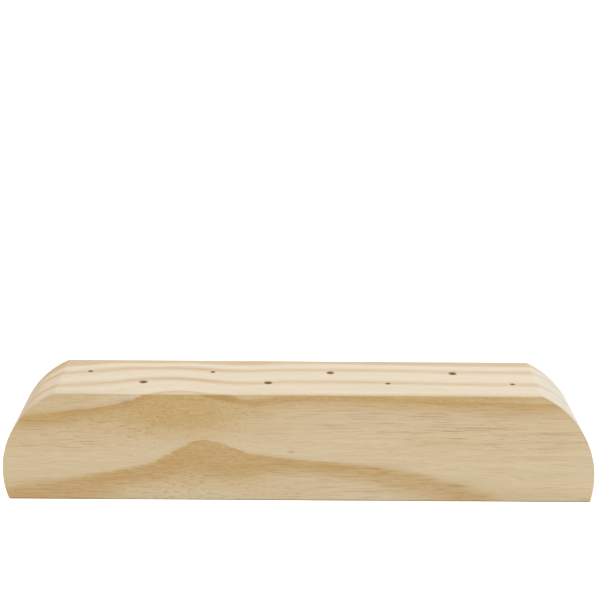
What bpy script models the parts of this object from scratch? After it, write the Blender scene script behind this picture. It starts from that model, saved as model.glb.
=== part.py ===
"""Tool block: one solid piece of pine with rounded ends and eight blind holes for slim hobby tools.

Frame: the origin is at the centre of the underside, +X runs along the block, +Y from the front face to the
back face, and +Z up. Lengths are in metres.
"""

import math

import bmesh
import bpy

MM = 0.001

# The block
LENGTH = 300 * MM  # over the widest part of the rounded ends
WIDTH = 50 * MM
HEIGHT = 57.5 * MM

# Each end is sawn to one arc. It leaves the flat top at a soft corner, passes its widest point low down, and
# turns in a little to the base. The two ends are sawn freehand, so their arcs differ slightly.
LEFT_RADIUS = 46.5 * MM
LEFT_AXIS_HEIGHT = 15 * MM  # of the arc's centre, and so of the block's widest point
RIGHT_RADIUS = 51 * MM
RIGHT_AXIS_HEIGHT = 11.5 * MM
ARC_STEP = math.radians(2.5)  # the longest facet of an arc

# Every outer edge is lightly sanded round.
EDGE_RADIUS = 0.6 * MM
EDGE_SEGMENTS = 2

# The holes stand in pairs, each with one hole in the back row and one in the front row. The two pairs left
# of the middle have their wide hole in front, and the two right of it have it behind.
PAIR_CENTRES = (-94 * MM, -30.5 * MM, 30.5 * MM, 94 * MM)
PAIR_STAGGER = 29 * MM  # from a pair's back hole to its front hole, along the block
ROW_SPACING = 15 * MM
WIDE_DIAMETER = 4 * MM
SLIM_DIAMETER = 2.5 * MM
HOLE_DEPTH = 35 * MM  # of the full diameter, above the drill point
DRILL_POINT_ANGLE = math.radians(118)
DRILL_SIDES = 24
DRILL_OVERSHOOT = 2 * MM  # how far a cutter stands out of the top

PINE_COLOUR = (0.72, 0.55, 0.34, 1.0)
PINE_ROUGHNESS = 0.55
SHARP_ANGLE = math.radians(35)


def clear_scene():
    for obj in list(bpy.data.objects):
        bpy.data.objects.remove(obj)


def end_profile(radius, axis_height):
    """The right-hand end as (x, z) points, from the end of the flat top down to the base."""
    centre_x = LENGTH / 2 - radius
    start = math.asin((HEIGHT - axis_height) / radius)
    end = -math.asin(axis_height / radius)
    steps = math.ceil((start - end) / ARC_STEP)
    angles = [start + (end - start) * i / steps for i in range(steps + 1)]
    return [(centre_x + radius * math.cos(a), axis_height + radius * math.sin(a)) for a in angles]


def block_outline():
    """The whole front outline, clockwise from the top's right end as seen from the front."""
    right = end_profile(RIGHT_RADIUS, RIGHT_AXIS_HEIGHT)
    left = [(-x, z) for x, z in reversed(end_profile(LEFT_RADIUS, LEFT_AXIS_HEIGHT))]
    return right + left


def is_outer_edge(edge):
    """True for the edges to sand: the front and back outlines, and the four across the block."""
    first, second = edge.verts
    if abs(first.co.y - second.co.y) < WIDTH / 2:
        return True
    on_base = max(first.co.z, second.co.z) < EDGE_RADIUS
    on_top = min(first.co.z, second.co.z) > HEIGHT - EDGE_RADIUS
    return on_base or on_top


def block_mesh():
    mesh = bpy.data.meshes.new("wooden_block")
    bm = bmesh.new()
    front = [bm.verts.new((x, -WIDTH / 2, z)) for x, z in block_outline()]
    face = bm.faces.new(front)
    extruded = bmesh.ops.extrude_face_region(bm, geom=[face])
    moved = [v for v in extruded["geom"] if isinstance(v, bmesh.types.BMVert)]
    bmesh.ops.translate(bm, verts=moved, vec=(0, WIDTH, 0))
    bmesh.ops.recalc_face_normals(bm, faces=bm.faces)
    bmesh.ops.bevel(
        bm,
        geom=[e for e in bm.edges if is_outer_edge(e)],
        offset=EDGE_RADIUS,
        segments=EDGE_SEGMENTS,
        profile=0.5,
        affect="EDGES",
    )
    bm.to_mesh(mesh)
    bm.free()
    return mesh


def hole_places():
    """(x, y, diameter) of each hole."""
    places = []
    for pair_x in PAIR_CENTRES:
        wide_in_front = pair_x < 0
        back, front = (SLIM_DIAMETER, WIDE_DIAMETER) if wide_in_front else (WIDE_DIAMETER, SLIM_DIAMETER)
        places.append((pair_x - PAIR_STAGGER / 2, ROW_SPACING / 2, back))
        places.append((pair_x + PAIR_STAGGER / 2, -ROW_SPACING / 2, front))
    return places


def add_drill(bm, x, y, diameter):
    """A closed cutter for one hole: a straight shank with a conical point at its foot."""
    radius = diameter / 2
    point_length = radius / math.tan(DRILL_POINT_ANGLE / 2)
    top = HEIGHT + DRILL_OVERSHOOT
    foot = HEIGHT - HOLE_DEPTH
    angles = [2 * math.pi * i / DRILL_SIDES for i in range(DRILL_SIDES)]
    rings = [
        [bm.verts.new((x + radius * math.cos(a), y + radius * math.sin(a), z)) for a in angles]
        for z in (top, foot)
    ]
    tip = bm.verts.new((x, y, foot - point_length))
    bm.faces.new(rings[0])
    for i in range(DRILL_SIDES):
        j = (i + 1) % DRILL_SIDES
        bm.faces.new((rings[0][j], rings[0][i], rings[1][i], rings[1][j]))
        bm.faces.new((rings[1][j], rings[1][i], tip))


def drill_cutters():
    mesh = bpy.data.meshes.new("drill_cutters")
    bm = bmesh.new()
    for x, y, diameter in hole_places():
        add_drill(bm, x, y, diameter)
    bmesh.ops.recalc_face_normals(bm, faces=bm.faces)
    bm.to_mesh(mesh)
    bm.free()
    cutters = bpy.data.objects.new("drill_cutters", mesh)
    cutters.hide_render = True
    cutters.display_type = "WIRE"
    bpy.context.scene.collection.objects.link(cutters)
    return cutters


def pine():
    material = bpy.data.materials.new("pine")
    material.use_nodes = True
    shader = material.node_tree.nodes["Principled BSDF"]
    shader.inputs["Base Color"].default_value = PINE_COLOUR
    shader.inputs["Roughness"].default_value = PINE_ROUGHNESS
    shader.inputs["Metallic"].default_value = 0.0
    return material


def main():
    clear_scene()
    mesh = block_mesh()
    mesh.materials.append(pine())
    mesh.shade_smooth()
    mesh.set_sharp_from_angle(angle=SHARP_ANGLE)
    block = bpy.data.objects.new("wooden_block", mesh)
    bpy.context.scene.collection.objects.link(block)
    drilling = block.modifiers.new("drilled_holes", "BOOLEAN")
    drilling.operation = "DIFFERENCE"
    drilling.object = drill_cutters()


main()
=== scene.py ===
import math
import random

import bmesh
import bpy
import numpy as np
from mathutils import Matrix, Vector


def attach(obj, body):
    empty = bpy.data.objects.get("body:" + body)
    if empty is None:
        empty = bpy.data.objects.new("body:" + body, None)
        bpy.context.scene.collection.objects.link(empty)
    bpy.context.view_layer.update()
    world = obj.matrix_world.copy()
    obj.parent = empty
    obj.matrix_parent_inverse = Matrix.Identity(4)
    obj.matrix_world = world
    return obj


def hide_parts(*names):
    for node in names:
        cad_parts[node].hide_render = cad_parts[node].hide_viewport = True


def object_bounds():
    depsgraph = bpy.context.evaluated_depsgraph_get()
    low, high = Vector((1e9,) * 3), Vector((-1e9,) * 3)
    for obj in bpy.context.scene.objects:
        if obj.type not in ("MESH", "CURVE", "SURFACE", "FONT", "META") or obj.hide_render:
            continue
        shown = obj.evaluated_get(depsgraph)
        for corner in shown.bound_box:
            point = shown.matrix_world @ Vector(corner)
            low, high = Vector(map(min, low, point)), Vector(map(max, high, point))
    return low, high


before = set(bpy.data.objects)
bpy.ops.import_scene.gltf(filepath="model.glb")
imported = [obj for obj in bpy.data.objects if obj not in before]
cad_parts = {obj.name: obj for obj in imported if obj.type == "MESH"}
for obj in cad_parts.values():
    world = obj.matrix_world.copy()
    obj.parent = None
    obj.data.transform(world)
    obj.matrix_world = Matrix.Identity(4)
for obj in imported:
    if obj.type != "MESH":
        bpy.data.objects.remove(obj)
cad_low, cad_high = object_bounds()

# A pine block with rounded ends, drilled for hobby tools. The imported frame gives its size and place: +X runs
# along the block and along its grain, the front face looks to -Y, and +Z is up.

MM = 0.001

LENGTH = cad_high.x - cad_low.x
WIDTH = cad_high.y - cad_low.y
HEIGHT = cad_high.z - cad_low.z

# ---- The shape -------------------------------------------------------------------------------------------

# Each end is one arc, sawn freehand: (radius, height of its centre).
LEFT_END = (46.5 * MM, 15 * MM)
RIGHT_END = (51 * MM, 11.5 * MM)
BROW_RADIUS = 2.5 * MM  # softens the corner between the flat top and the arc
HEEL_RADIUS = 0.3 * MM  # between the arc and the underside
ARC_SPACING = 0.7 * MM
FLAT_SPACING = 4 * MM
ROWS_ACROSS = 14

EDGE_RADIUS = 0.5 * MM  # sanded edges of the front and back faces
EDGE_STEPS = 5
EDGE_VARIATION = 0.3  # hand sanding: how much that radius wanders
FRONT_EDGE_SEED = 11
BACK_EDGE_SEED = 12
EDGE_WAVES = 9
RIM_WAVES = 6

PAIR_CENTRES = (-94 * MM, -30.5 * MM, 30.5 * MM, 94 * MM)
PAIR_STAGGER = 29 * MM
ROW_SPACING = 15 * MM
WIDE_DIAMETER = 4 * MM
SLIM_DIAMETER = 2.5 * MM
HOLE_DEPTH = 35 * MM
DRILL_POINT_ANGLE = math.radians(118)
DRILL_SIDES = 72
RIM_CHAMFER = 0.12 * MM  # broken fibres round a hole's mouth
RIM_TEAR = 0.2 * MM  # how much further they break along the grain
DRILL_OVERSHOOT = 0.6 * MM
SHARP_ANGLE = math.radians(38)


def arc(centre, radius, start, end):
    """Points on an arc from the angle start down to end, with their outward normals."""
    steps = max(3, math.ceil(radius * abs(end - start) / ARC_SPACING))
    angles = np.linspace(start, end, steps + 1)
    normals = np.stack([np.cos(angles), np.sin(angles)], 1)
    return np.array(centre) + radius * normals, normals


def end_outline(radius, axis_height):
    """An end's outline in (x, z), as the right-hand end, from the flat top round to the underside."""
    centre = (LENGTH / 2 - radius, axis_height)
    brow_rise = HEIGHT - BROW_RADIUS - axis_height
    brow_reach = math.sqrt((radius - BROW_RADIUS) ** 2 - brow_rise**2)
    brow_angle = math.atan2(brow_rise, brow_reach)
    heel_rise = HEEL_RADIUS - axis_height
    heel_reach = math.sqrt((radius - HEEL_RADIUS) ** 2 - heel_rise**2)
    heel_angle = math.atan2(heel_rise, heel_reach)
    brow = arc((centre[0] + brow_reach, HEIGHT - BROW_RADIUS), BROW_RADIUS, math.pi / 2, brow_angle)
    main = arc(centre, radius, brow_angle, heel_angle)
    heel = arc((centre[0] + heel_reach, HEEL_RADIUS), HEEL_RADIUS, heel_angle, -math.pi / 2)
    points = np.concatenate([brow[0], main[0][1:], heel[0][1:]])
    normals = np.concatenate([brow[1], main[1][1:], heel[1][1:]])
    return points, normals


def flat(start, end, normal):
    """Points strictly between start and end, with one normal."""
    steps = math.ceil(np.linalg.norm(end - start) / FLAT_SPACING)
    shares = np.arange(1, steps)[:, None] / steps
    points = start + (end - start) * shares
    return points, np.tile(normal, (len(points), 1))


def outline():
    """The whole outline, clockwise from the right end of the flat top as seen from the front."""
    right, right_normals = end_outline(*RIGHT_END)
    mirror = np.array([-1, 1])
    left, left_normals = (a[::-1] * mirror for a in end_outline(*LEFT_END))
    base, base_normals = flat(right[-1], left[0], (0, -1))
    top, top_normals = flat(left[-1], right[0], (0, 1))
    points = np.concatenate([right, base, left, top])
    normals = np.concatenate([right_normals, base_normals, left_normals, top_normals])
    return points, normals


def wandering(count, seed, waves):
    """A smooth closed run of values from about -1 to 1."""
    source = random.Random(seed)
    turn = np.linspace(0, 2 * math.pi, count, endpoint=False)
    total = np.zeros(count)
    for wave in range(1, waves + 1):
        total += source.uniform(-1, 1) * np.sin(3 * wave * turn + source.uniform(0, 6.28))
    return total / np.abs(total).max()


def cross_rows(count):
    """(y, inset) along the outline for each row of the skin, from the front face round to the back face."""
    half = WIDTH / 2
    front = EDGE_RADIUS * (1 + EDGE_VARIATION * wandering(count, FRONT_EDGE_SEED, EDGE_WAVES))
    back = EDGE_RADIUS * (1 + EDGE_VARIATION * wandering(count, BACK_EDGE_SEED, EDGE_WAVES))
    rows = []
    for step in range(EDGE_STEPS, -1, -1):
        turn = math.pi / 2 * step / EDGE_STEPS
        rows.append((-half + front * (1 - math.sin(turn)), front * (1 - math.cos(turn))))
    for step in range(1, ROWS_ACROSS):
        share = step / ROWS_ACROSS
        rows.append(((-half + front) * (1 - share) + (half - back) * share, np.zeros(count)))
    for step in range(EDGE_STEPS + 1):
        turn = math.pi / 2 * step / EDGE_STEPS
        rows.append((half - back * (1 - math.sin(turn)), back * (1 - math.cos(turn))))
    return rows


def solid_block():
    points, normals = outline()
    count = len(points)
    bm = bmesh.new()
    rings = []
    for y, inset in cross_rows(count):
        flat_points = points - normals * inset[:, None]
        rings.append([bm.verts.new((x, depth, z)) for (x, z), depth in zip(flat_points, y)])
    for near, far in zip(rings, rings[1:]):
        for i in range(count):
            j = (i + 1) % count
            bm.faces.new((near[i], near[j], far[j], far[i]))
    bm.faces.new(rings[0])
    bm.faces.new(rings[-1])
    bmesh.ops.recalc_face_normals(bm, faces=bm.faces)
    mesh = bpy.data.meshes.new("pine_block")
    bm.to_mesh(mesh)
    bm.free()
    return mesh


def hole_places():
    """(x, y, diameter) of each hole. The two pairs left of the middle have their wide hole in front."""
    places = []
    for pair_x in PAIR_CENTRES:
        back, front = (SLIM_DIAMETER, WIDE_DIAMETER) if pair_x < 0 else (WIDE_DIAMETER, SLIM_DIAMETER)
        places.append((pair_x - PAIR_STAGGER / 2, ROW_SPACING / 2, back))
        places.append((pair_x + PAIR_STAGGER / 2, -ROW_SPACING / 2, front))
    return places


def add_drill(bm, x, y, diameter, seed):
    """A closed cutter: a ragged flared mouth, a straight wall and a conical point."""
    radius = diameter / 2
    foot = HEIGHT - HOLE_DEPTH
    tip_z = foot - radius / math.tan(DRILL_POINT_ANGLE / 2)
    angles = np.linspace(0, 2 * math.pi, DRILL_SIDES, endpoint=False)
    ragged = 0.5 + 0.5 * wandering(DRILL_SIDES, seed, RIM_WAVES)
    rim = RIM_CHAMFER + RIM_TEAR * ragged * np.cos(angles) ** 2
    levels = [
        (radius + rim + DRILL_OVERSHOOT, np.full(DRILL_SIDES, HEIGHT + DRILL_OVERSHOOT)),
        (np.full(DRILL_SIDES, radius), HEIGHT - rim),
        (np.full(DRILL_SIDES, radius), np.full(DRILL_SIDES, foot)),
    ]
    rings = []
    for reach, heights in levels:
        around = zip(angles, reach, heights)
        rings.append([bm.verts.new((x + r * math.cos(a), y + r * math.sin(a), z)) for a, r, z in around])
    tip = bm.verts.new((x, y, tip_z))
    bm.faces.new(rings[0])
    for i in range(DRILL_SIDES):
        j = (i + 1) % DRILL_SIDES
        bm.faces.new((rings[0][i], rings[0][j], rings[1][j], rings[1][i]))
        bm.faces.new((rings[1][i], rings[1][j], rings[2][j], rings[2][i]))
        bm.faces.new((rings[2][i], rings[2][j], tip))


def drill_holes(block):
    """Cuts the holes, and gives their walls the second material."""
    bm = bmesh.new()
    for seed, (x, y, diameter) in enumerate(hole_places()):
        add_drill(bm, x, y, diameter, seed)
    bmesh.ops.recalc_face_normals(bm, faces=bm.faces)
    mesh = bpy.data.meshes.new("drills")
    bm.to_mesh(mesh)
    bm.free()
    drills = bpy.data.objects.new("drills", mesh)
    bpy.context.scene.collection.objects.link(drills)
    cut = block.modifiers.new("holes", "BOOLEAN")
    cut.operation = "DIFFERENCE"
    cut.object = drills
    graph = bpy.context.evaluated_depsgraph_get()
    drilled = bpy.data.meshes.new_from_object(block.evaluated_get(graph))
    block.modifiers.remove(cut)
    block.data = drilled
    bpy.data.objects.remove(drills)
    for face in drilled.polygons:
        centre = face.center
        in_hole = any(
            math.hypot(centre.x - x, centre.y - y) < diameter / 2 + 2 * RIM_TEAR
            for x, y, diameter in hole_places()
        )
        below = HEIGHT - RIM_CHAMFER > centre.z > HEIGHT - HOLE_DEPTH - WIDE_DIAMETER
        face.material_index = 1 if in_hole and below else 0


# ---- Wood ------------------------------------------------------------------------------------------------

# The growth rings are arcs about a pith line that runs along the block, in front of it and near its base.
# Lengths in this part are in millimetres, because the shader works in them. "Outwards" is the distance from
# the ring that grazes the front top edge. A pair (low, high) is a place where something eases in.
PITH_Y = -97.0
PITH_Z = -3.0
RING_RADIUS = 90.4  # from the pith to the ring that grazes the front top edge
# Where each year ends, outwards from that ring. The last three years are narrower.
YEAR_ENDS = (-17.5, 0.0, 15.5, 30.1, 46.5, 55.0, 62.0, 68.0)

# A swelling left of the middle pushes the rings outwards.
SWELLING_HEIGHT = 5.0
SWELLING_X = -55.0
SWELLING_LEAN = -0.95  # its crest moves left by this much for each mm outwards
SWELLING_REACH = 24.0
SWELLING_DEPTH = 71.0
# So do smaller bends of the trunk, by so many mm each.
RISE_ALONG = (-133.0, -45.0)
RISE = 3.3
DIP_X = -29.5
DIP_REACH = 14.0
DIP = -1.55
FALL_ALONG = (4.0, 130.0)
FALL = -4.3
TAPER_OUTWARDS = (-17.5, 0.0)
TAPER = 0.019  # for each mm along the block
DROOP_ALONG = (-112.0, -138.0)
DROOP_OUTWARDS = (-17.0, -4.0)
DROOP = -1.2
SHOULDER_X = -61.0
SHOULDER_REACH = 14.0
SHOULDER_OUTWARDS = (0.0, 5.0)
SHOULDER = 1.6

# The heart is the wood inside the first year end. Its edge is crisper under the swelling.
HEART_SOFTNESS = 0.55
CRISP_X = -45.0
CRISP_REACH = 26.0
CRISPER = 0.47

# How far a face has turned, as a part of its normal.
END_FACING = (0.15, 0.75)
UP_FACING = (0.5, 0.9)
EDGE_STARTS = (0.04, 0.3)
EDGE_STOPS = (0.995, 0.9)

# Noises: (reach in mm along the grain and the two ways across it, detail, roughness).
WANDER = ((80.0, 30.0, 30.0), 2.0, 0.5)
WANDER_HEIGHT = 1.6
WOBBLE = ((16.0, 6.0, 6.0), 2.0, 0.5)
WOBBLE_HEIGHT = 0.5
FEATHER = ((11.0, 0.8, 0.8), 3.0, 0.6)
FEATHER_HEIGHT = 1.1
PATCHES = ((26.0, 5.0, 5.0), 3.0, 0.6)
CLUMPS = ((55.0, 16.0, 16.0), 2.0, 0.5)
BROAD = ((70.0, 2.2, 2.2), 3.0, 0.6)
FIBRE = ((9.0, 0.42, 0.42), 3.0, 0.6)
FLECK = ((2.4, 0.5, 0.5), 2.0, 0.6)
LATE_STREAKS = ((15.0, 0.3, 1.1), 2.0, 0.5)
LONG_STREAKS = ((30.0, 0.45, 0.45), 1.0, 0.5)

EARLY_WOOD = (0.590, 0.466, 0.288, 1.0)
LATE_WOOD = (0.442, 0.252, 0.058, 1.0)
STREAK_COLOUR = (0.405, 0.225, 0.045, 1.0)
STAINED_WOOD = (0.480, 0.305, 0.098, 1.0)  # where resin has soaked in
MOST_STAIN = 0.85
CANAL_COLOUR = (0.36, 0.215, 0.08, 1.0)
SPOT_COLOUR = (0.28, 0.19, 0.10, 1.0)
END_COLOUR = (0.60, 0.45, 0.27, 1.0)
# Painted shade: the left end is coloured darker and more orange, as the shade of less light falling on it.
SHADED_LEFT_END_COLOUR = (0.48, 0.32, 0.13, 1.0)
# Painted light: the right end is coloured paler and greyer, as the white light that it reflects.
LIT_RIGHT_END_COLOUR = (0.53, 0.49, 0.41, 1.0)
# Real wear and a painted highlight: the rounded edges are coloured paler.
WEAR_AND_HIGHLIGHT_COLOUR = (0.72, 0.60, 0.42, 1.0)
TOP_LIGHT_TINT = (1.01, 1.03, 1.035, 1.0)  # painted light: the top is tinted paler and cooler, as the white sheen that falls on it
LEFT_BROW_REFLECTION_TINT = (1.14, 1.11, 1.20, 1.0)  # painted reflection: the top of the left end is tinted paler and bluer, as the white it reflects at a grazing angle
WALL_TINT = (1.15, 0.98, 0.74, 1.0)  # a drilled hole is browner inside

ROUGHNESS = 0.36
WALL_ROUGHNESS = 0.75
SPECULAR = 0.5
WALL_SPECULAR = 0.1
SHEEN = 0.12  # the fuzz of a sanded face
SHEEN_ROUGHNESS = 0.4
RELIEF_STRENGTH = 0.35
RELIEF_HEIGHT = 0.05 * MM

# The stains: (centre, reach along each axis, strength, the distance outwards where a year's end stops it).
STAINS = (
    ((-60.0, -25.0, 48.0), (30.0, 9.0, 13.0), 1.1, 0.0),  # over the swelling
    ((-36.0, -25.0, 18.0), (38.0, 9.0, 9.0), 0.45, -17.5),  # under its crest
    ((15.0, -25.0, 57.5), (60.0, 3.0, 3.2), 0.75, 40.0),  # along the front top edge
    ((85.0, -25.0, 57.0), (60.0, 3.0, 6.0), 0.85, 40.0),
    ((-128.0, -25.0, 44.5), (16.0, 8.0, 3.6), 0.95, 40.0),  # at the left end
    ((-108.0, -25.0, 57.0), (14.0, 4.0, 4.5), 0.3, 40.0),
    ((76.0, -25.0, 32.0), (24.0, 6.0, 1.3), 0.35, 40.0),
    ((-114.0, -25.0, 50.0), (30.0, 6.0, 8.0), 0.18, 40.0),
)
STAIN_EDGE = 0.3  # how softly a year's end stops a stain
# The small spots: (centre, reach along each axis, strength).
SPOTS = (
    ((-4.0, -25.0, 27.0), (1.6, 2.0, 0.5), 0.7),
    ((-87.0, -25.0, 53.2), (2.4, 3.0, 1.6), 0.42),
    ((129.0, -25.0, 31.0), (5.0, 5.0, 4.0), 0.15),
    ((-114.0, -25.0, 50.0), (30.0, 8.0, 8.0), 0.09),
)
# Thin dark streaks on the front face: (x, z, reach along the grain, strength). They slope down a little to
# the right.
FRONT_STREAKS = (
    (-137.0, 29.3, 4.0, 0.5),
    (-130.0, 43.0, 9.0, 0.5),
    (-131.0, 5.8, 11.0, 0.35),
    (15.0, 41.6, 6.0, 0.45),
    (37.0, 48.0, 6.0, 0.4),
    (37.0, 5.4, 6.0, 0.4),
    (63.0, 46.5, 11.0, 0.5),
    (80.0, 9.3, 5.0, 0.4),
    (88.0, 40.5, 16.0, 0.5),
    (128.0, 37.5, 13.0, 0.5),
)
STREAK_SLOPE = -0.02
STREAK_HALF_WIDTH = 0.45
STREAK_DEPTH = 3.0

# A dark wedge runs down from the front top edge, right of the swelling.
WEDGE_X = -52.0  # where its upper side meets the edge
WEDGE_SLOPE = 0.22
WEDGE_STARTS = (-54.0, -47.0)
WEDGE_STOPS = (-26.0, -35.0)
WEDGE_LOW_SIDE = (-0.4, 0.3)
WEDGE_HIGH_SIDE = (4.6, 2.6)
WEDGE_INWARDS = (-23.0, -24.6)
WEDGE_SHARE = 0.8

# How far the wood has darkened by each part of a year: in the years that reach the front face, and in the
# later ones, which reach only the top, the back and the ends.
FRONT_YEAR = (
    (0.0, 0.14),
    (0.04, 0.05),
    (0.12, 0.0),
    (0.25, 0.03),
    (0.40, 0.13),
    (0.66, 0.20),
    (0.78, 0.33),
    (0.88, 0.54),
    (0.95, 0.82),
    (0.985, 0.82),
    (1.0, 0.62),
)
LATER_YEAR = (
    (0.0, 0.62),
    (0.08, 0.48),
    (0.20, 0.12),
    (0.33, 0.0),
    (0.60, 0.02),
    (0.78, 0.12),
    (0.90, 0.42),
    (0.97, 0.64),
    (1.0, 0.64),
)
LATER_FROM = (5.0, 11.0)
# The band along the back of the top is dark through most of its year.
DARK_BAND_STARTS = (35.8, 39.8)
DARK_BAND_STOPS = (47.0, 46.2)

# Resin canals: thin dark tubes along the grain. They sway, so a planed face cuts each one to a short streak.
# Each set is (the size of the cells that hold one each, radius, seed for its own places).
CANALS = (1.9, 0.29, 3.1)
FINE_CANALS = (1.2, 0.19, 8.7)
CANAL_CORE = 0.45  # the part of the radius that is fully dark
SWAY_LENGTH = 42.0
SWAY_ACROSS = 14.0
SWAY = 1.4
MORE_SWAY = 2.4  # at the left
MORE_SWAY_ALONG = (20.0, -60.0)
ROUND_SHIFT = 7.3  # keeps the two sways apart


class Field:
    """A number that varies through the wood: a shader socket with arithmetic."""

    def __init__(self, tree, socket):
        self.tree = tree
        self.socket = socket

    def math(self, operation, *others):
        node = self.tree.nodes.new("ShaderNodeMath")
        node.operation = operation
        for slot, value in zip(node.inputs, (self, *others)):
            plug(self.tree, slot, value)
        return Field(self.tree, node.outputs[0])

    def __add__(self, other):
        return self.math("ADD", other)

    def __sub__(self, other):
        return self.math("SUBTRACT", other)

    def __rsub__(self, other):
        return (self * -1.0).math("ADD", other)

    def __mul__(self, other):
        return self.math("MULTIPLY", other)

    def __truediv__(self, other):
        return self.math("DIVIDE", other)

    __radd__ = __add__
    __rmul__ = __mul__

    def eased(self, low, high):
        """0 up to low, 1 from high on, and smooth in between. High may be below low."""
        node = self.tree.nodes.new("ShaderNodeMapRange")
        node.interpolation_type = "SMOOTHSTEP"
        plug(self.tree, node.inputs["Value"], self)
        plug(self.tree, node.inputs["From Min"], low)
        plug(self.tree, node.inputs["From Max"], high)
        return Field(self.tree, node.outputs[0])

    def ramp(self, low, high):
        """0 up to low, 1 from high on, and a straight line in between."""
        node = self.tree.nodes.new("ShaderNodeMapRange")
        plug(self.tree, node.inputs["Value"], self)
        plug(self.tree, node.inputs["From Min"], low)
        plug(self.tree, node.inputs["From Max"], high)
        return Field(self.tree, node.outputs[0])

    def curve(self, stops):
        """A curve through (position, value) stops."""
        node = self.tree.nodes.new("ShaderNodeValToRGB")
        plug(self.tree, node.inputs[0], self)
        elements = node.color_ramp.elements
        while len(elements) < len(stops):
            elements.new(0.5)
        for element, (position, value) in zip(elements, stops):
            element.position = position
            element.color = (value, value, value, 1.0)
        return Field(self.tree, node.outputs[0])

    def bell(self, centre, reach):
        """1 at the centre, falling off on both sides as a Gaussian."""
        return gaussian((self - centre) / reach)


def gaussian(*parts):
    """1 where every part is 0, falling off with the distance that the parts make up."""
    total = sum(part * part for part in parts)
    return (total * -1.0).math("EXPONENT")


def plug(tree, slot, value):
    if isinstance(value, Field):
        tree.links.new(value.socket, slot)
    elif isinstance(value, bpy.types.NodeSocket):
        tree.links.new(value, slot)
    else:
        slot.default_value = value


def vector(tree, x, y, z):
    node = tree.nodes.new("ShaderNodeCombineXYZ")
    for slot, value in zip(node.inputs, (x, y, z)):
        plug(tree, slot, value)
    return node.outputs[0]


def noise(tree, coordinates, detail=2.0, roughness=0.5):
    """Noise from about -0.5 to 0.5."""
    node = tree.nodes.new("ShaderNodeTexNoise")
    plug(tree, node.inputs["Vector"], coordinates)
    node.inputs["Scale"].default_value = 1.0
    node.inputs["Detail"].default_value = detail
    node.inputs["Roughness"].default_value = roughness
    return Field(tree, node.outputs["Fac"]) - 0.5


def mixed(tree, share, first, second, blend="MIX"):
    node = tree.nodes.new("ShaderNodeMix")
    node.data_type = "RGBA"
    node.blend_type = blend
    plug(tree, node.inputs["Factor"], share)
    plug(tree, node.inputs["A"], first)
    plug(tree, node.inputs["B"], second)
    return next(s for s in node.outputs if s.type == "RGBA")


class Grain:
    """Where a point lies in the tree: along the grain, outwards across the rings, and round them."""

    def __init__(self, tree):
        place = tree.nodes.new("ShaderNodeTexCoord")
        split = tree.nodes.new("ShaderNodeSeparateXYZ")
        tree.links.new(place.outputs["Object"], split.inputs[0])
        facing = tree.nodes.new("ShaderNodeSeparateXYZ")
        tree.links.new(place.outputs["Normal"], facing.inputs[0])
        self.tree = tree
        self.x, self.y, self.z = (Field(tree, s) / MM for s in split.outputs)
        self.end_grain = Field(tree, facing.outputs[0]).math("ABSOLUTE").eased(*END_FACING)
        self.upward = Field(tree, facing.outputs[2]).eased(*UP_FACING)
        sideways = Field(tree, facing.outputs[1]).math("ABSOLUTE")
        self.rounded_edge = sideways.eased(*EDGE_STARTS) * sideways.eased(*EDGE_STOPS)
        away, up = self.y - PITH_Y, self.z - PITH_Z
        depth = (away * away + up * up).math("SQRT") - RING_RADIUS
        self.around = up.math("ARCTAN2", away) * RING_RADIUS
        self.outwards = depth - self.swelling(depth) + self.unevenness()
        self.season = self.years().math("FRACT")
        softness = HEART_SOFTNESS - self.x.bell(CRISP_X, CRISP_REACH) * CRISPER
        self.heart = ((self.outwards - YEAR_ENDS[0]) / softness).eased(1.0, -1.0)

    def years(self):
        """The number of years from the first of YEAR_ENDS, with each year's width evened out to one."""
        return sum(self.outwards.ramp(start, end) for start, end in zip(YEAR_ENDS, YEAR_ENDS[1:]))

    def unevenness(self):
        """Small bends of the rings, in mm."""
        wander = self.in_space(WANDER) * WANDER_HEIGHT
        wobble = self.in_space(WOBBLE) * WOBBLE_HEIGHT
        return wander + wobble + self.in_space(FEATHER) * FEATHER_HEIGHT

    def swelling(self, depth):
        """How far the rings are pushed outwards, by the swelling and by the trunk's smaller bends."""
        crest = self.x - SWELLING_X - depth * SWELLING_LEAN
        swelling = crest.bell(0.0, SWELLING_REACH) * depth.bell(0.0, SWELLING_DEPTH) * SWELLING_HEIGHT
        rise = self.x.eased(*RISE_ALONG) * RISE
        dip = self.x.bell(DIP_X, DIP_REACH) * DIP
        fall = self.x.eased(*FALL_ALONG) * FALL
        taper = self.x * depth.eased(*TAPER_OUTWARDS) * TAPER
        droop = self.x.eased(*DROOP_ALONG) * depth.eased(*DROOP_OUTWARDS) * DROOP
        shoulder = self.x.bell(SHOULDER_X, SHOULDER_REACH) * depth.eased(*SHOULDER_OUTWARDS) * SHOULDER
        return swelling + rise + dip + fall + taper + droop + shoulder

    def in_space(self, texture):
        """One of the noises, laid along the block's own axes."""
        reach, detail, roughness = texture
        place = (p / r for p, r in zip((self.x, self.y, self.z), reach))
        return noise(self.tree, vector(self.tree, *place), detail, roughness)

    def in_rings(self, texture):
        """One of the noises, bent with the rings."""
        reach, detail, roughness = texture
        place = (p / r for p, r in zip((self.x, self.outwards, self.around), reach))
        return noise(self.tree, vector(self.tree, *place), detail, roughness)


def ring_share(grain):
    """How much of the colour is late wood, outside the heart."""
    right_half = grain.x.eased(-25.0, 20.0)
    left_gap = grain.x.bell(-78.0, 10.0) * grain.outwards.eased(-8.0, -14.0)
    front = grain.season.curve(FRONT_YEAR) * (1.08 - (right_half * 0.26 + left_gap * 0.4))
    over_swelling = grain.x.bell(-58.0, 24.0)
    later = grain.season.curve(LATER_YEAR) * (over_swelling * 0.6 + 1.1)
    crisp = later * later * 1.7
    later = later + (crisp - later) * grain.end_grain
    return front + (later - front) * grain.outwards.eased(*LATER_FROM)


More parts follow.
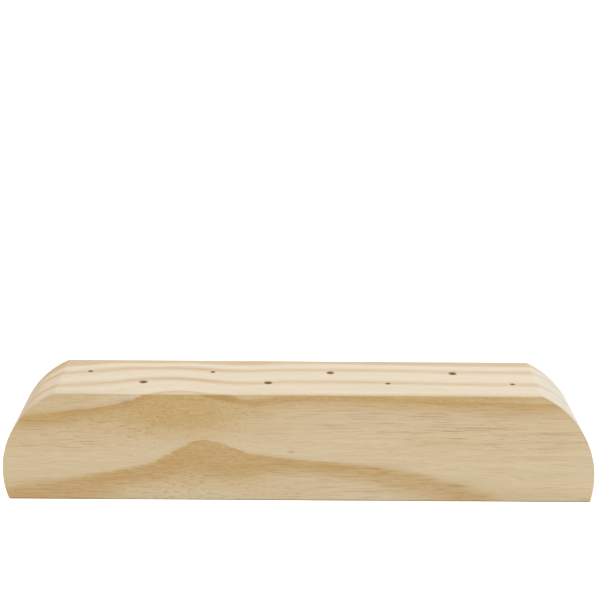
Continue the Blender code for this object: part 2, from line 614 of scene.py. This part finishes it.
def heart_share(grain):
    """How much of the colour is late wood in the heart. It is dark at its edge, and pale from 3 mm inside or
    from 8 mm inside under the swelling's crest."""
    under_crest = grain.x.bell(-42.0, 24.0)
    fade = grain.outwards.eased(under_crest * -3.5 - 18.3, under_crest * -4.5 - 20.6)
    pale_right = grain.x.eased(30.0, 75.0)
    pale_left = grain.x.eased(-85.0, -125.0)
    pale_crest = grain.x.bell(-36.0, 12.0)
    paler = pale_right * 0.24 + pale_left * 0.2 + pale_crest * 0.12
    return (0.74 - fade * 0.68) * (1.0 - paler)


def darkening(grain):
    """How much of the colour is late wood."""
    patches = grain.in_space(PATCHES)
    rings = ring_share(grain)
    left = grain.x.eased(-85.0, -115.0) * 0.07
    share = (rings + (heart_share(grain) - rings) * grain.heart) * (patches * 0.8 + 1.0) + left
    band = grain.outwards.eased(*DARK_BAND_STARTS) * grain.outwards.eased(*DARK_BAND_STOPS) * (patches + 0.9)
    return share.math("MAXIMUM", band).math("MINIMUM", 1.0)


def blemish(grain, centre, reach):
    """A soft patch."""
    return gaussian(*((p - c) / r for p, c, r in zip((grain.x, grain.y, grain.z), centre, reach)))


def front_streak(grain, x, z, reach):
    beside = grain.x - x
    across = (grain.z - z - beside * STREAK_SLOPE) / STREAK_HALF_WIDTH
    inwards = (grain.y + WIDTH / MM / 2) / STREAK_DEPTH
    return gaussian(beside / reach, across, inwards)


def staining(grain):
    return sum(
        blemish(grain, centre, reach) * grain.outwards.eased(end + STAIN_EDGE, end - STAIN_EDGE) * strength
        for centre, reach, strength, end in STAINS
    )


def spotting(grain):
    spots = sum(blemish(grain, centre, reach) * strength for centre, reach, strength in SPOTS)
    return spots + sum(front_streak(grain, x, z, reach) * strength for x, z, reach, strength in FRONT_STREAKS)


def wedge(grain):
    above = grain.z - HEIGHT / MM + (grain.x - WEDGE_X) * WEDGE_SLOPE
    tall = above.eased(*WEDGE_LOW_SIDE) * above.eased(*WEDGE_HIGH_SIDE)
    along = grain.x.eased(*WEDGE_STARTS) * grain.x.eased(*WEDGE_STOPS)
    return tall * along * grain.y.eased(*WEDGE_INWARDS)


def resin_canals(grain, cell, radius, seed):
    """How dark one set of canals makes each point."""
    tree = grain.tree
    sway = grain.x.eased(*MORE_SWAY_ALONG) * MORE_SWAY + SWAY
    along = grain.x / SWAY_LENGTH
    out, around = grain.outwards / SWAY_ACROSS, grain.around / SWAY_ACROSS
    sway_out = noise(tree, vector(tree, along + seed, out, around), 3.0) * sway
    sway_round = noise(tree, vector(tree, along - seed, out, around + ROUND_SHIFT), 3.0) * sway
    across = vector(tree, (grain.outwards + sway_out) / cell + seed, (grain.around + sway_round) / cell, 0.0)
    node = tree.nodes.new("ShaderNodeTexVoronoi")
    node.voronoi_dimensions = "2D"
    node.inputs["Scale"].default_value = 1.0
    tree.links.new(across, node.inputs["Vector"])
    distance = Field(tree, node.outputs["Distance"]) * cell
    return distance.eased(radius, radius * CANAL_CORE)


def dark_marks(grain):
    """The resin canals and some longer streaks. They are fewest at a year's start and faint on the top."""
    where = grain.season.eased(0.15, 0.5) * grain.season.eased(1.0, 0.96) + grain.heart * 0.95
    clumps = grain.in_space(CLUMPS).eased(-0.16, 0.12)
    canals = resin_canals(grain, *CANALS) * where * clumps * 0.85
    fine_canals = resin_canals(grain, *FINE_CANALS) * where * 0.65
    long_streaks = grain.in_rings(LONG_STREAKS).eased(0.11, 0.24) * 0.4
    return (canals + fine_canals + long_streaks) * (1.0 - grain.upward * 0.65)


def wood_colour(grain, stain):
    """The colour of the rings, the stains and the wedge."""
    tree = grain.tree
    late = darkening(grain)
    colour = mixed(tree, late, EARLY_WOOD, LATE_WOOD)
    streaks = grain.in_rings(LATE_STREAKS).eased(0.02, 0.18) * late.eased(0.3, 0.6) * 0.6
    colour = mixed(tree, streaks, colour, STREAK_COLOUR)
    colour = mixed(tree, stain.math("MINIMUM", MOST_STAIN), colour, STAINED_WOOD)
    return mixed(tree, wedge(grain) * WEDGE_SHARE, colour, STREAK_COLOUR)


def fibre_tint(grain, stain, broad, fibre):
    """A tint that varies with the fibres. A darker one is also warmer."""
    fleck = grain.in_rings(FLECK)
    shade = broad * 0.14 + fibre * 0.22 + fleck * (stain * 0.3 + 0.08) + 1.0
    return vector(grain.tree, shade, shade * shade, shade * shade * shade)


def face_colour(grain, colour, fibre):
    """The colour as each face shows it: the sawn ends, the top and the rounded edges, with painted light in
    it: shade on the left end, light on the right end, reflection at the top of the left end, a paler top, and
    a highlight along with the wear on the rounded edges.
    """
    tree = grain.tree
    # painted shade on the left end
    shaded_left_end = grain.end_grain * grain.x.eased(-126.0, -145.0)
    # painted light and reflection on the right end
    lit_right_end = grain.end_grain * grain.x.eased(60.0, 115.0)
    # painted reflection: the top of the left end is tinted paler and bluer
    left_brow_reflection = grain.end_grain * grain.z.eased(47.0, 54.5) * grain.x.eased(-100.0, -115.0)
    colour = mixed(tree, grain.end_grain * 0.2, colour, END_COLOUR)
    colour = mixed(tree, shaded_left_end * 0.95, colour, SHADED_LEFT_END_COLOUR)
    colour = mixed(tree, lit_right_end * 0.45, colour, LIT_RIGHT_END_COLOUR)
    # painted light: the faces that look up are tinted paler and cooler
    colour = mixed(tree, grain.upward, colour, TOP_LIGHT_TINT, "MULTIPLY")
    colour = mixed(tree, left_brow_reflection, colour, LEFT_BROW_REFLECTION_TINT, "MULTIPLY")
    # wear and a painted highlight along the rounded edges
    wear_and_highlight = grain.rounded_edge * (fibre * 0.6 + 0.7)
    return mixed(tree, wear_and_highlight * 0.45, colour, WEAR_AND_HIGHLIGHT_COLOUR)


def add_finish(shader, grain, fibre, relief_height, wall):
    """How the surface scatters light: sanded faces, rougher ends, and rough drilled walls."""
    tree = grain.tree
    end_rough = grain.end_grain * (grain.x.eased(-100.0, -135.0) * 0.14 + 0.08)
    rough = fibre * 0.25 + end_rough + (WALL_ROUGHNESS if wall else ROUGHNESS)
    plug(tree, shader.inputs["Roughness"], rough)
    shader.inputs["Specular IOR Level"].default_value = WALL_SPECULAR if wall else SPECULAR
    shader.inputs["Sheen Weight"].default_value = 0.0 if wall else SHEEN
    shader.inputs["Sheen Roughness"].default_value = SHEEN_ROUGHNESS
    relief = tree.nodes.new("ShaderNodeBump")
    relief.inputs["Strength"].default_value = RELIEF_STRENGTH
    relief.inputs["Distance"].default_value = RELIEF_HEIGHT
    plug(tree, relief.inputs["Height"], relief_height)
    tree.links.new(relief.outputs[0], shader.inputs["Normal"])


def pine(name, wall=False):
    material = bpy.data.materials.new(name)
    material.use_nodes = True
    tree = material.node_tree
    shader = tree.nodes["Principled BSDF"]
    grain = Grain(tree)
    stain = staining(grain)
    broad = grain.in_rings(BROAD)
    fibre = grain.in_rings(FIBRE)
    dark = dark_marks(grain)

    colour = wood_colour(grain, stain)
    colour = mixed(tree, 1.0, colour, fibre_tint(grain, stain, broad, fibre), "MULTIPLY")
    colour = mixed(tree, dark.math("MINIMUM", 1.0), colour, CANAL_COLOUR)
    colour = mixed(tree, spotting(grain), colour, SPOT_COLOUR)
    colour = face_colour(grain, colour, fibre)
    if wall:
        colour = mixed(tree, 1.0, colour, WALL_TINT, "MULTIPLY")
    tree.links.new(colour, shader.inputs["Base Color"])
    add_finish(shader, grain, fibre, fibre + broad * 0.5 - dark * 0.8, wall)
    return material


def wooden_block():
    mesh = solid_block()
    block = bpy.data.objects.new("pine_block", mesh)
    bpy.context.scene.collection.objects.link(block)
    mesh.materials.append(pine("pine"))
    mesh.materials.append(pine("drilled_pine", wall=True))
    drill_holes(block)
    block.data.shade_smooth()
    block.data.set_sharp_from_angle(angle=SHARP_ANGLE)
    even = block.modifiers.new("even_shading", "WEIGHTED_NORMAL")
    even.keep_sharp = True
    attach(block, "root")
    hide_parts("wooden_block")
    return block


# ---- Studio ----------------------------------------------------------------------------------------------

FLOOR_SIZE = 12.0
FLOOR_COLOUR = (0.6, 0.6, 0.6, 1.0)
FLOOR_GLOW = 0.85
FLOOR_GAP = 0.2 * MM  # between the floor and the block's underside
SKY = 0.5
OVERHEAD = 0.7
OVERHEAD_EDGE = 0.2  # the cosine at which the light from overhead ends
BACKDROP = 1.65
BACKDROP_DIRECTION = (0.15, 0.93, 0.33)
BACKDROP_EDGE = 0.7
CAMERA_PLACE = (-3.7 * MM, -652.8 * MM, 305.7 * MM)
CAMERA_PITCH = math.radians(17.54)
CAMERA_YAW = math.radians(-0.31)
CAMERA_ROLL = math.radians(0.5)
LENS = 81.34


def floor():
    mesh = bpy.data.meshes.new("floor")
    bm = bmesh.new()
    bmesh.ops.create_grid(bm, x_segments=4, y_segments=4, size=FLOOR_SIZE / 2)
    bm.to_mesh(mesh)
    bm.free()
    material = bpy.data.materials.new("white_floor")
    material.use_nodes = True
    shader = material.node_tree.nodes["Principled BSDF"]
    shader.inputs["Base Color"].default_value = FLOOR_COLOUR
    shader.inputs["Roughness"].default_value = 0.9
    shader.inputs["Specular IOR Level"].default_value = 0.0
    shader.inputs["Emission Color"].default_value = (1.0, 1.0, 1.0, 1.0)
    shader.inputs["Emission Strength"].default_value = FLOOR_GLOW
    mesh.materials.append(material)
    obj = bpy.data.objects.new("floor", mesh)
    obj.location.z = -FLOOR_GAP
    bpy.context.scene.collection.objects.link(obj)


def glow(tree, direction, edge):
    """Light from one side of the sky: 1 in that direction, down to 0 where the cosine falls to edge."""
    place = tree.nodes.new("ShaderNodeTexCoord")
    toward = tree.nodes.new("ShaderNodeVectorMath")
    toward.operation = "DOT_PRODUCT"
    tree.links.new(place.outputs["Generated"], toward.inputs[0])
    toward.inputs[1].default_value = direction
    return Field(tree, toward.outputs["Value"]).eased(edge, 1.0)


def sky():
    """Soft white light from all round, brighter overhead and from the backdrop."""
    world = bpy.data.worlds.new("studio")
    bpy.context.scene.world = world
    world.use_nodes = True
    tree = world.node_tree
    background = tree.nodes["Background"]
    background.inputs["Color"].default_value = (1.0, 1.0, 1.0, 1.0)
    overhead = glow(tree, (0.0, 0.0, 1.0), OVERHEAD_EDGE) * OVERHEAD
    backdrop = glow(tree, BACKDROP_DIRECTION, BACKDROP_EDGE) * BACKDROP
    plug(tree, background.inputs["Strength"], overhead + backdrop + SKY)


def camera():
    data = bpy.data.cameras.new("camera")
    data.lens = LENS
    data.clip_start = 0.01
    data.clip_end = 100.0
    obj = bpy.data.objects.new("camera", data)
    bpy.context.scene.collection.objects.link(obj)
    turn = Matrix.Rotation(CAMERA_YAW, 4, "Z")
    tilt = Matrix.Rotation(math.pi / 2 - CAMERA_PITCH, 4, "X")
    roll = Matrix.Rotation(CAMERA_ROLL, 4, "Z")
    obj.matrix_world = Matrix.Translation(CAMERA_PLACE) @ turn @ tilt @ roll
    bpy.context.scene.camera = obj


camera()
wooden_block()
floor()
sky()
bpy.context.scene.view_settings.view_transform = "Standard"
bpy.context.scene.view_settings.look = "None"
